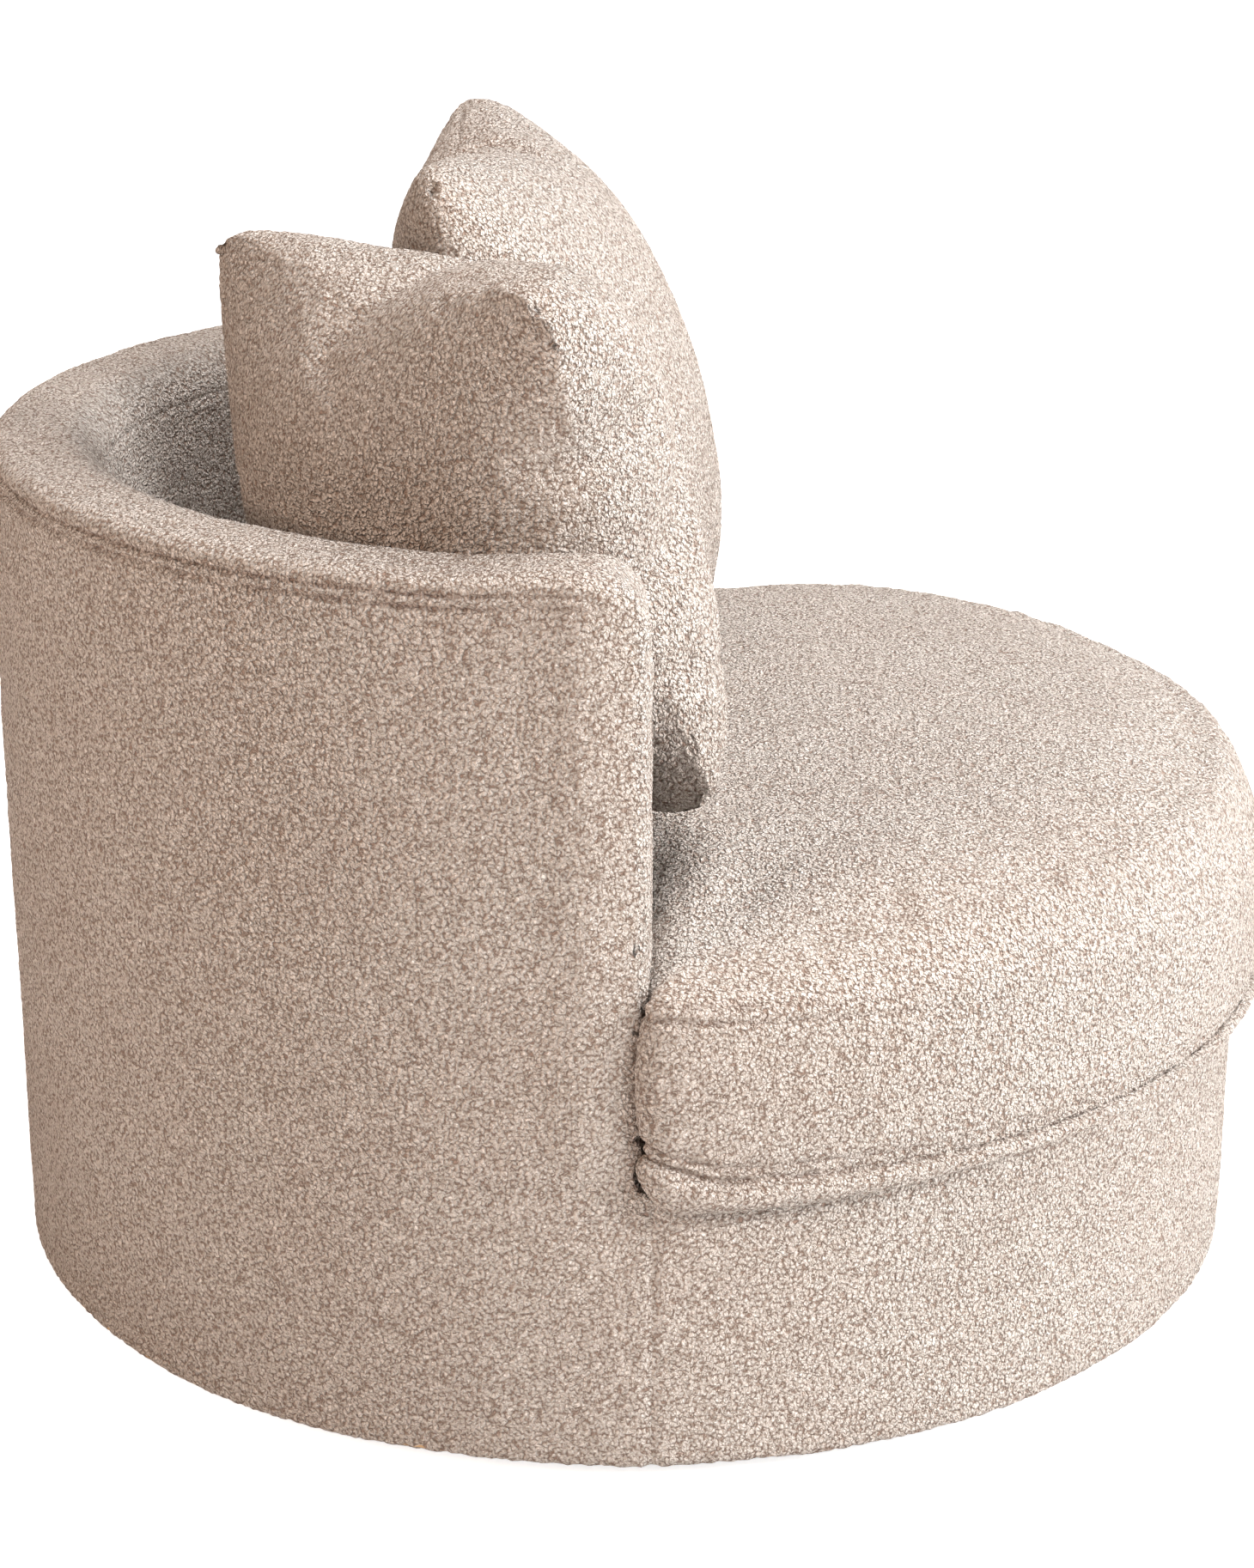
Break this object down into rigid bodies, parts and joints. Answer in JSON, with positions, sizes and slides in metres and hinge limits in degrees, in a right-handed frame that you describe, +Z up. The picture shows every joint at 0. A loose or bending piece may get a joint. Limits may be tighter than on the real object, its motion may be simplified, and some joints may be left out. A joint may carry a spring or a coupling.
{
  "type": "round cuddle chair",
  "caption": "Round upholstered cuddle chair in teddy boucle: drum base on a hidden swivel, level wrap-round back, overhanging round seat cushion and loose pillows.",
  "frame": {"origin": "on the swivel axis, at the floor, in the middle of the felt under the base disc", "axes": "+X to the chair's front, +Y to the sitter's left, +Z up along the swivel axis"},
  "size_m": [1.222, 1.2374, 1.0518],
  "materials": {
    "boucle": "matte",
    "black_cloth": "matte",
    "foam": "matte",
    "fibre": "matte",
    "plywood": "matte",
    "pine": "matte",
    "steel": "satin",
    "zip": "matte"
  },
  "bodies": {
    "floor_base": {"floor_felt": "black_cloth", "base_disc": "plywood", "swivel_lower_plate": "steel", "ball_cage": "steel", "swivel_pivot": "steel", "base_screw_1": "steel", "base_screw_2": "steel", "base_screw_3": "steel", "base_screw_4": "steel"},
    "seat_unit": {"bottom_ring": "plywood", "seat_ring": "plywood", "top_rail": "plywood", "lower_post_1": "pine", "lower_post_2": "pine", "lower_post_3": "pine", "lower_post_4": "pine", "lower_post_5": "pine", "lower_post_6": "pine", "upper_post_1": "pine", "upper_post_2": "pine", "upper_post_3": "pine", "upper_post_4": "pine", "upper_post_5": "pine", "front_bearer_beam": "pine", "rear_bearer_beam": "pine", "front_spring_rail": "pine", "rear_spring_rail": "pine", "swivel_upper_plate": "steel", "beam_screw_1": "steel", "beam_screw_2": "steel", "beam_screw_3": "steel", "beam_screw_4": "steel", "outer_panel": "plywood", "front_panel": "plywood", "inner_panel": "plywood", "seat_spring_1": "steel", "seat_spring_2": "steel", "seat_spring_3": "steel", "seat_spring_4": "steel", "seat_spring_5": "steel", "deck_cloth": "black_cloth", "dust_cover": "black_cloth", "back_foam": "foam", "rim_foam": "foam", "left_arm_pad": "foam", "right_arm_pad": "foam", "outer_cover": "boucle", "front_cover": "boucle", "inner_cover": "boucle", "rim_cover": "boucle", "left_arm_facing": "boucle", "right_arm_facing": "boucle"},
    "seat_cushion": {"seat_cushion_cover": "boucle", "seat_cushion_zip": "zip", "seat_cushion_core": "foam"},
    "near_pillow": {"near_pillow_cover": "boucle", "near_pillow_filling": "fibre"},
    "far_pillow": {"far_pillow_cover": "boucle", "far_pillow_filling": "fibre"}
  },
  "joints": [
    {"name": "swivel", "type": "hinge", "parent": "floor_base", "child": "seat_unit", "pos_m": [0, 0, 0], "axis": [0, 0, 1], "continuous": true},
    {"name": "cushion_lift", "type": "slide", "parent": "seat_unit", "child": "seat_cushion", "axis": [0, 0, 1], "range_m": [0, 0.6]},
    {"name": "near_pillow_lift", "type": "slide", "parent": "seat_cushion", "child": "near_pillow", "axis": [-0.45, 0, 0.893], "range_m": [0, 0.65]},
    {"name": "far_pillow_lift", "type": "slide", "parent": "seat_cushion", "child": "far_pillow", "axis": [0.15, 0, 0.9887], "range_m": [0, 0.65]}
  ]
}
